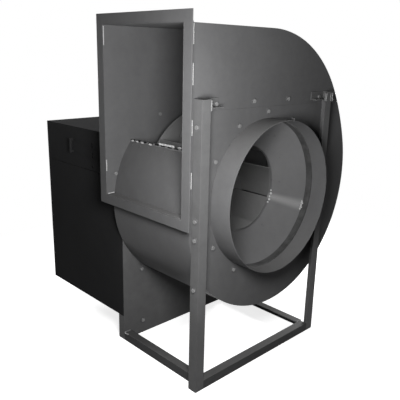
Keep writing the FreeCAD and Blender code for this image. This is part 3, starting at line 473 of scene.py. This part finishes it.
cone_paint = spray_paint("cone_paint", CASING_GREY, (0.26, 0.36), shine=0.75)
# Painted highlight: a lighter band on the cone along its seam.
paint_seam_highlight(cone_paint, CONE_SEAM, SEAM_HIGHLIGHT_WIDTH, SEAM_HIGHLIGHT_GREY)
dress(casing_paint, "inlet_collar")
dress(cone_paint, "inlet_cone")
soften(SHEET_EASE, "inlet_collar", "inlet_cone")
drops = bmesh.new()
for radius, y, spread in SEAM_ENDS:
    for i in range(-2, 3):
        spot = round_shaft(radius, CONE_SEAM + spread * i, y - DROP_STAGGER * (i % 2))
        bmesh.ops.create_icosphere(drops, subdivisions=2, radius=DROP_RADIUS + DROP_GROWTH * (i % 2),
                                   matrix=Matrix.Translation(spot))
for face in drops.faces:
    face.smooth = True
new_piece("cone_seam_ends", drops, highlight_weld, "casing")
# Light grey paint on welds: a painted highlight.
soft_highlight_weld = spray_paint("soft_highlight_weld", SOFT_HIGHLIGHT_GREY, (0.20, 0.32), shine=0.8)
seam = bmesh.new()
for line in SEAM_LINES:
    weld_run(seam, *(round_shaft(radius, CONE_SEAM, y) for radius, y in line), SEAM_WELD)
new_piece("cone_seam", seam, soft_highlight_weld, "casing")

# The impeller has nine backward curved blades, welded between a flat backplate and a conical
# shroud. Its hub is turned, and bolted to the backplate.
WHEEL = ("wheel_backplate", "wheel_shroud", "wheel_blades", "wheel_hub")
WHEEL_GREY = (0.230, 0.230, 0.230, 1)
wheel_paint = spray_paint("wheel_paint", WHEEL_GREY, (0.32, 0.45), shine=0.5)
dress(wheel_paint, *WHEEL)
soften(SHEET_EASE, *WHEEL)

# The stand is cut from hot-rolled angle bars and welded. It has the casing's paint. The rails on the
# floor have a darker and duller copy of it, and their darkness is painted shade.
STAND = ("front_left_post", "front_right_post", "rear_left_leg", "rear_right_leg", "post_clips",
         "post_head_plates", "pedestal_plate", "bearing_shelf", "shelf_gussets")
RAILS = ("front_rail", "left_rail", "right_rail", "rear_rail")
STAND_GREY = (0.150, 0.150, 0.151, 1)
RAIL_SHADED_GREY = (0.088, 0.088, 0.089, 1)
stand_paint = spray_paint("stand_paint", STAND_GREY, (0.38, 0.52), dust=0.15, spread=0.14)
# Painted shade: the rails' paint is darker than the stand's.
rail_shaded_paint = spray_paint("rail_shaded_paint", RAIL_SHADED_GREY, (0.48, 0.62), dust=0.06, spread=0.14, shine=0.08)
dress(stand_paint, *STAND)
dress(rail_shaded_paint, *RAILS)
soften(BAR_EASE, *STAND, *RAILS)

# Short hand-laid welds hold the head plates to the posts, and the side rails to the posts and to the rear
# legs. Their paint is a lighter grey than the stand's, a painted highlight on their ridges.
HEAD_WELD = 0.0026
LEG_WELD = 0.0040
RAIL_WELD = 0.0030
HEAD_GAP = 0.006
HEAD_PROUD = 0.0002
LEG_RUN = (0.034, 0.006)
RAIL_GAP = 0.003
LEG_SIDE_SHIFT = (0.0005, 0.001)
post_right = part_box("front_left_post")[1].x
right_low, right_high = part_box("front_right_post")
plates_low, plates_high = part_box("post_head_plates")
rail_low, rail_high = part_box("left_rail")
far_low, far_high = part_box("right_rail")
stand_welds = bmesh.new()
for x in (post_right - 0.001, right_low.x - 0.008, right_low.x + 0.003, right_high.x - 0.012,
          right_high.x + 0.004):
    weld_runs(stand_welds, "z", (x, plates_low.y - HEAD_PROUD, 0),
              [(plates_low.z + HEAD_GAP, plates_high.z - HEAD_GAP)], HEAD_WELD)
for x in (rail_low.x, far_high.x):
    weld_runs(stand_welds, "y", (x, 0, rail_high.z), [[rail_high.y - back for back in LEG_RUN]], LEG_WELD)
back, down = LEG_SIDE_SHIFT
for low, high in ((rail_low, rail_high), (far_low, far_high)):
    for y, z in ((rail_low.y, rail_high.z), (rail_high.y + back, rail_high.z - down)):
        weld_runs(stand_welds, "x", (0, y, z), [(low.x + RAIL_GAP, high.x - RAIL_GAP)], RAIL_WELD)
new_piece("stand_welds", stand_welds, soft_highlight_weld, "casing")

# Shafts and bearing inserts are ground steel, and the bearing housings and pulleys are cast iron.
# The slide rails and the shaft's end cap are zinc plated.
ZINC_GREY = (0.50, 0.50, 0.50)
TARNISH = (0.75, 1.1)
DULLING = (-0.08, 0.10)
STEEL_GREY = (0.56, 0.56, 0.57)
IRON_GREY = (0.16, 0.16, 0.165)
PIT_RISE = 0.0003
CAST_EASE = 0.0025


def bare_metal(name, colour, roughness, grain):
    """Bare metal with uneven roughness and a fine grain."""
    finish, tree, surface = new_finish(name)
    link = tree.links.new
    where = add_node(tree, "ShaderNodeTexCoord").outputs["Object"]
    tarnish = noise(tree, where, scale=35.0, detail=5.0, roughness=0.7)
    pits = add_node(tree, "ShaderNodeBump", Strength=0.3, Distance=PIT_RISE)
    link(noise(tree, where, scale=grain, detail=3.0), pits.inputs["Height"])
    metal = add_node(tree, "ShaderNodeBsdfPrincipled", Metallic=1.0)
    dull = ramp(tree, tarnish, *MIDDLE, *(roughness + change for change in DULLING))
    link(shaded(tree, colour, ramp(tree, tarnish, *MIDDLE, *TARNISH)), metal.inputs["Base Color"])
    link(dull, metal.inputs["Roughness"])
    link(pits.outputs[0], metal.inputs["Normal"])
    link(metal.outputs[0], surface)
    return finish


zinc = bare_metal("zinc_plate", ZINC_GREY, roughness=0.38, grain=300.0)
dress(zinc, "shaft_end_cap", "motor_slide_rails")
ground_steel = bare_metal("ground_steel", STEEL_GREY, roughness=0.28, grain=500.0)
dress(ground_steel, "fan_shaft", "motor_rotor", "front_bearing_insert", "rear_bearing_insert")
cast_iron = bare_metal("cast_iron", IRON_GREY, roughness=0.60, grain=180.0)
dress(cast_iron, "front_bearing_housing", "rear_bearing_housing", "driven_pulley", "motor_pulley")
soften(SHEET_EASE, "shaft_end_cap", "motor_slide_rails", "driven_pulley", "motor_pulley")
soften(CAST_EASE, "front_bearing_housing", "rear_bearing_housing")

# The bolts have plated hexagon heads with chamfered tops, on washers that have the casing's paint. The
# heads are a lighter grey than the washers, partly from the plating and partly as a painted highlight for
# the bright spot each head shows. The rivets under the cut-off have low domes.
M10_ACROSS = 0.017
M12_ACROSS = 0.019
M16_ACROSS = 0.024
HEAD_SHARE = 0.36
CHAMFER_SHARE = (0.07, 0.035)
HEAD_TURN = 0.5
WASHER_SHARE = 0.84
WASHER_RISE = 0.0018
WASHER_EASE = 0.0004
WASHER_SEGMENTS = 28
BOLT_HEAD_HIGHLIGHT_GREY = (0.250, 0.250, 0.250, 1)
RIVET_EASE = 0.0016


def solids_of(node):
    """The middle and the half size of each solid of a CAD node."""
    mesh = bmesh.new()
    mesh.from_mesh(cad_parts[node].data)
    bmesh.ops.remove_doubles(mesh, verts=mesh.verts, dist=SAME_PLACE)
    left = set(mesh.verts)
    found = []
    while left:
        open_ends = [left.pop()]
        solid = list(open_ends)
        while open_ends:
            vert = open_ends.pop()
            for edge in vert.link_edges:
                other = edge.other_vert(vert)
                if other in left:
                    left.remove(other)
                    open_ends.append(other)
                    solid.append(other)
        low = Vector([min(v.co[i] for v in solid) for i in range(3)])
        high = Vector([max(v.co[i] for v in solid) for i in range(3)])
        found.append(((low + high) / 2, (high - low) / 2))
    mesh.free()
    return sorted(found, key=lambda solid: tuple(solid[0]))


def upright_on(seat, outward):
    """The turn and place of a thing that stands on a face at a seat."""
    return Matrix.Translation(seat) @ Vector(outward).to_track_quat("Z", "X").to_matrix().to_4x4()


def raised_disc(mesh, segments, radius, rise, place):
    """A short disc or prism on its seat. Gives its corners and its top face."""
    ring = bmesh.ops.create_circle(mesh, cap_ends=True, segments=segments, radius=radius, matrix=place)
    base = list({face for vert in ring["verts"] for face in vert.link_faces})
    grown = bmesh.ops.extrude_face_region(mesh, geom=base, use_keep_orig=True)
    upper = [item for item in grown["geom"] if isinstance(item, bmesh.types.BMVert)]
    top = next(item for item in grown["geom"] if isinstance(item, bmesh.types.BMFace))
    bmesh.ops.translate(mesh, verts=upper, vec=place.to_3x3() @ Vector((0, 0, rise)))
    return ring["verts"] + upper, top


def ease_rim(mesh, rim, width):
    """Rounds the edges of a rim."""
    bmesh.ops.bevel(mesh, geom=rim, offset=width, segments=2, profile=0.5, affect="EDGES", material=-1)


def bolt(mesh, seat, outward, across, spin):
    """A hexagon head with a chamfered top, on a washer with rounded edges."""
    place = upright_on(seat, outward) @ Matrix.Rotation(spin, 4, "Z")
    top = raised_disc(mesh, WASHER_SEGMENTS, across * WASHER_SHARE, WASHER_RISE, place)[1]
    ease_rim(mesh, list(top.edges), WASHER_EASE)
    head, top = raised_disc(mesh, 6, across / math.sqrt(3), across * HEAD_SHARE,
                            place @ Matrix.Translation((0, 0, WASHER_RISE)))
    inward, rise = CHAMFER_SHARE
    bmesh.ops.inset_individual(mesh, faces=[top], thickness=across * inward, depth=across * rise)
    for face in {face for vert in head for face in vert.link_faces} | {top}:
        face.material_index = 1


def bolt_up(node, outward, across, body="casing"):
    """Puts a detailed bolt in place of each plain head of a CAD node."""
    mesh = bmesh.new()
    outward = Vector(outward)
    for i, (middle, half) in enumerate(solids_of(node)):
        seat = middle - outward * abs(half.dot(outward))
        bolt(mesh, seat, outward, across, spin=HEAD_TURN * i)
    bmesh.ops.recalc_face_normals(mesh, faces=mesh.faces)
    piece = new_piece(node + "_fitted", mesh, casing_paint, body)
    piece.data.materials.append(bolt_head_highlight)
    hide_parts(node)


# Lighter grey on the bolt heads: partly plating, partly a painted highlight.
bolt_head_highlight = spray_paint("bolt_head_highlight", BOLT_HEAD_HIGHLIGHT_GREY, (0.18, 0.28), shine=0.9)
for node in ("inlet_ring_bolts", "rear_ring_bolts", "joint_bolts", "clip_bolts"):
    bolt_up(node, (0, -1, 0), M10_ACROSS)
bolt_up("post_bolts", (-1, 0, 0), M10_ACROSS)
bolt_up("pedestal_bolts", (0, -1, 0), M12_ACROSS)
bolt_up("bearing_bolts", (0, 0, 1), M16_ACROSS)
bolt_up("hub_bolts", (0, -1, 0), M12_ACROSS, "fan_rotor")
dress(casing_paint, "cutoff_rivets")
soften(RIVET_EASE, "cutoff_rivets")

# The motor is a finned, fan-cooled one in grey enamel. Its feet stand on the slide rails, and a
# cowl covers its fan.
ENAMEL_GREY = (0.10, 0.11, 0.12, 1)
BOX_EASE = 0.0020
motor_enamel = spray_paint("motor_enamel", ENAMEL_GREY, (0.42, 0.55))
dress(motor_enamel, "motor_frame", "motor_end_shield", "motor_fan_cowl", "motor_terminal_box")
soften(SHEET_EASE, "motor_frame", "motor_end_shield", "motor_fan_cowl")
soften(BOX_EASE, "motor_terminal_box")

# The shaft's seal and the belts are black rubber, and the motor's fan is black plastic. The
# inlet's seal is a softer strip in grey.
RUBBER_BLACK = (0.030, 0.030, 0.030)
STRIP_GREY = (0.062, 0.062, 0.062)
BLOOM = (0.7, 1.4)


def rubber(name, colour, roughness):
    """Dull rubber or plastic with a cloudy bloom."""
    finish, tree, surface = new_finish(name)
    where = add_node(tree, "ShaderNodeTexCoord").outputs["Object"]
    bloom = ramp(tree, noise(tree, where, scale=28.0, detail=4.0), *MIDDLE, *BLOOM)
    skin = add_node(tree, "ShaderNodeBsdfPrincipled", Roughness=roughness)
    tree.links.new(shaded(tree, colour, bloom), skin.inputs["Base Color"])
    tree.links.new(skin.outputs[0], surface)
    return finish


black_rubber = rubber("black_rubber", RUBBER_BLACK, roughness=0.65)
dress(black_rubber, "shaft_seal", "v_belts", "motor_fan")
grey_rubber = rubber("grey_rubber", STRIP_GREY, roughness=0.60)
dress(grey_rubber, "inlet_seal")

# The drive enclosure is a box of thin sheet panels on a light frame of angle bars. It is in a
# darker and duller paint than the casing, and so are the beams that cross it under the motor.
ENCLOSURE = ("enclosure_frame", "enclosure_left_panel", "enclosure_rear_panel",
             "enclosure_right_panel", "enclosure_top_panel", "drive_cross_beams")
ENCLOSURE_GREY = (0.040, 0.040, 0.041, 1)
PANEL_EASE = 0.0005
enclosure_paint = spray_paint("enclosure_paint", ENCLOSURE_GREY, (0.62, 0.78), shine=0.015)
dress(enclosure_paint, *ENCLOSURE)
soften(PANEL_EASE, *ENCLOSURE)

# Small black pan-head screws hold the enclosure's rear and right sheets to its frame. They
# stand in rows along the edges. Each is a low round head with a recess.
SCREW_RADIUS = 0.0065
SCREW_RISE = 0.0028
SCREW_SEGMENTS = 16
RIM_SHARE = 0.35
RECESS_INSET = 0.45
RECESS_WALL = 0.06
SCREW_INSET = 0.015
SCREW_ROWS = 4
SCREW_BLACK = (0.055, 0.055, 0.056, 1)


def pan_head(mesh, seat, outward):
    """A low round head with an eased rim and a round recess."""
    top = raised_disc(mesh, SCREW_SEGMENTS, SCREW_RADIUS, SCREW_RISE, upright_on(seat, outward))[1]
    rim = list(top.edges)
    bmesh.ops.inset_individual(mesh, faces=[top], thickness=SCREW_RADIUS * RECESS_INSET)
    bmesh.ops.inset_individual(mesh, faces=[top], thickness=SCREW_RADIUS * RECESS_WALL,
                               depth=-SCREW_RISE / 2)
    ease_rim(mesh, rim, SCREW_RISE * RIM_SHARE)


screws = bmesh.new()
for panel, outward, across in (
        ("enclosure_right_panel", (1, 0, 0), 1), ("enclosure_rear_panel", (0, 1, 0), 0)):
    low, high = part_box(panel)
    seat = Vector(high)
    ends = low[across] + SCREW_INSET, high[across] - SCREW_INSET
    for row in range(SCREW_ROWS):
        share = row / (SCREW_ROWS - 1)
        seat.z = low.z + SCREW_INSET + share * (high.z - low.z - 2 * SCREW_INSET)
        middle = (sum(ends) / 2,) if share in (0, 1) else ()
        for place in ends + middle:
            seat[across] = place
            pan_head(screws, seat, outward)
bmesh.ops.recalc_face_normals(screws, faces=screws.faces)
screw_black = spray_paint("screw_black", SCREW_BLACK, (0.30, 0.42), shine=0.3)
new_piece("enclosure_screws", screws, screw_black, "casing")

low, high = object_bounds()
